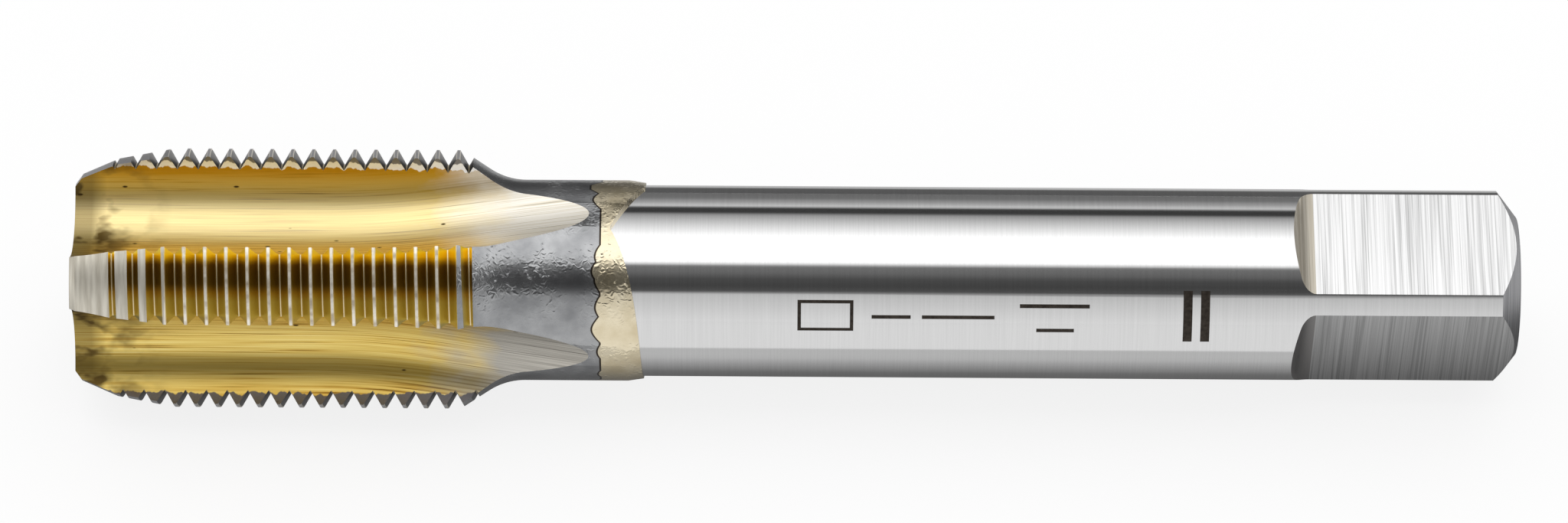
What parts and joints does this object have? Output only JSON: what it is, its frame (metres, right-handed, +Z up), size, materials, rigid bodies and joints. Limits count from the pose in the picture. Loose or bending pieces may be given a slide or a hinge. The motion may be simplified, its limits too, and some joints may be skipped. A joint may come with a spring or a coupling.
{
  "type": "thread tap",
  "caption": "Straight-flute hand tap with a fine right-hand thread, a fluted cutting end, a ground round shank and a drive square.",
  "frame": {"origin": "on the surface that the tap lies on, below its axis and halfway along its length", "axes": "+X along the tap's axis from the cutting tip to the drive square, +Z up, and -Y towards the viewer of the picture"},
  "size_m": [0.104, 0.0168, 0.0168],
  "materials": {
    "ground_tool_steel": "ground high-speed steel, with a gold titanium nitride coat in the flutes and thread roots"
  },
  "bodies": {
    "root": {"thread_tap": "ground_tool_steel"}
  },
  "joints": []
}
